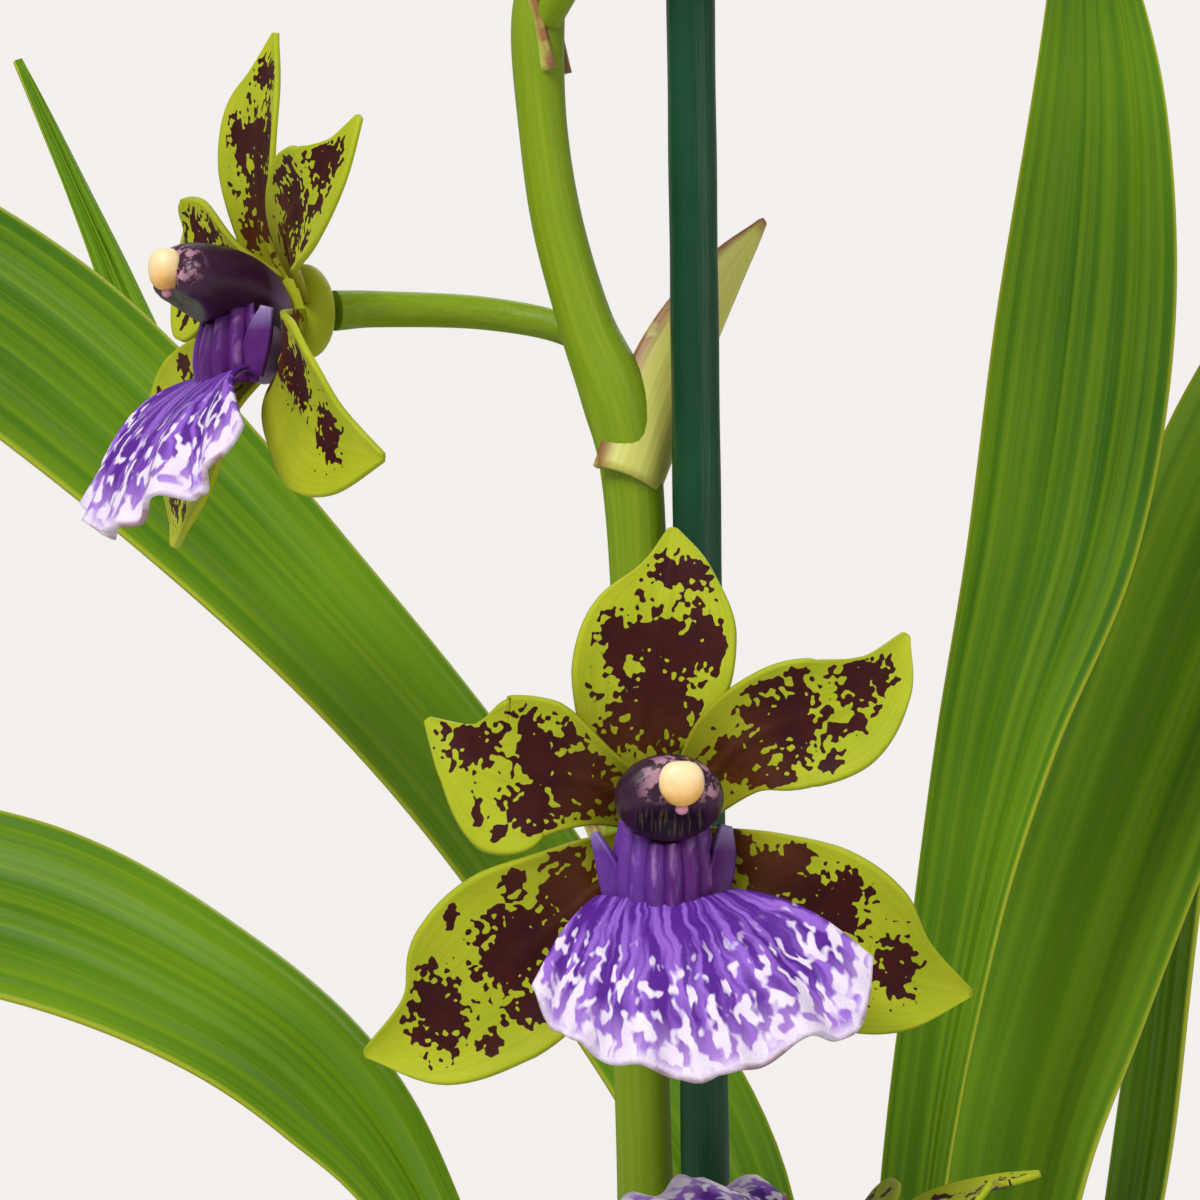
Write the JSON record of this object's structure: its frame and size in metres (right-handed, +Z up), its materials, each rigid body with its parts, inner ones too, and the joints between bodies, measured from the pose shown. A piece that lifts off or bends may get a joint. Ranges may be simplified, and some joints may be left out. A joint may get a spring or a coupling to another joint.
{
  "type": "potted orchid",
  "caption": "Potted zygopetalum orchid with a staked flower spike of green and maroon blooms with violet lips, pleated strap leaves, pseudobulbs and bark in a plain pale pot.",
  "frame": {"origin": "middle of the pot's flat underside, on the surface it stands on", "axes": "+Z up along the flower spike, +X to the right of someone facing the lowest full bloom, which faces -Y"},
  "size_m": [0.3708, 0.2914, 0.5052],
  "materials": {
    "pot": "satin",
    "bark": "rough",
    "stake": "gloss",
    "tie": "satin",
    "pseudobulb": "satin",
    "leaf": "satin",
    "stem": "satin",
    "bud": "satin",
    "tepal": "satin",
    "lip": "satin",
    "column": "satin",
    "anther_cap": "satin"
  },
  "bodies": {
    "root": {"pot": "pot", "bark_medium": "bark", "stake": "stake", "tie_1": "tie", "tie_2": "tie", "pseudobulb_1": "pseudobulb", "pseudobulb_2": "pseudobulb", "pseudobulb_3": "pseudobulb", "pseudobulb_4": "pseudobulb", "leaf_left_high": "leaf", "leaf_left_low": "leaf", "leaf_left_back": "leaf", "leaf_right_high": "leaf", "leaf_right_outer": "leaf", "leaf_right_back": "leaf", "leaf_right_arch": "leaf", "leaf_left_arch": "leaf", "leaf_back_left": "leaf", "leaf_back_right": "leaf", "leaf_front_left": "leaf", "leaf_front_right": "leaf", "flower_spike": "stem", "bud_1": "bud", "bud_2": "bud", "bud_3": "bud", "bloom_1_tepals": "tepal", "bloom_1_lip": "lip", "bloom_1_column": "column", "bloom_1_anther_cap": "anther_cap", "bloom_2_tepals": "tepal", "bloom_2_lip": "lip", "bloom_2_column": "column", "bloom_2_anther_cap": "anther_cap", "bloom_3_tepals": "tepal", "bloom_3_lip": "lip", "bloom_3_column": "column", "bloom_3_anther_cap": "anther_cap", "bloom_4_tepals": "tepal", "bloom_4_lip": "lip", "bloom_4_column": "column", "bloom_4_anther_cap": "anther_cap", "bloom_5_tepals": "tepal", "bloom_5_lip": "lip", "bloom_5_column": "column", "bloom_5_anther_cap": "anther_cap"}
  },
  "joints": []
}
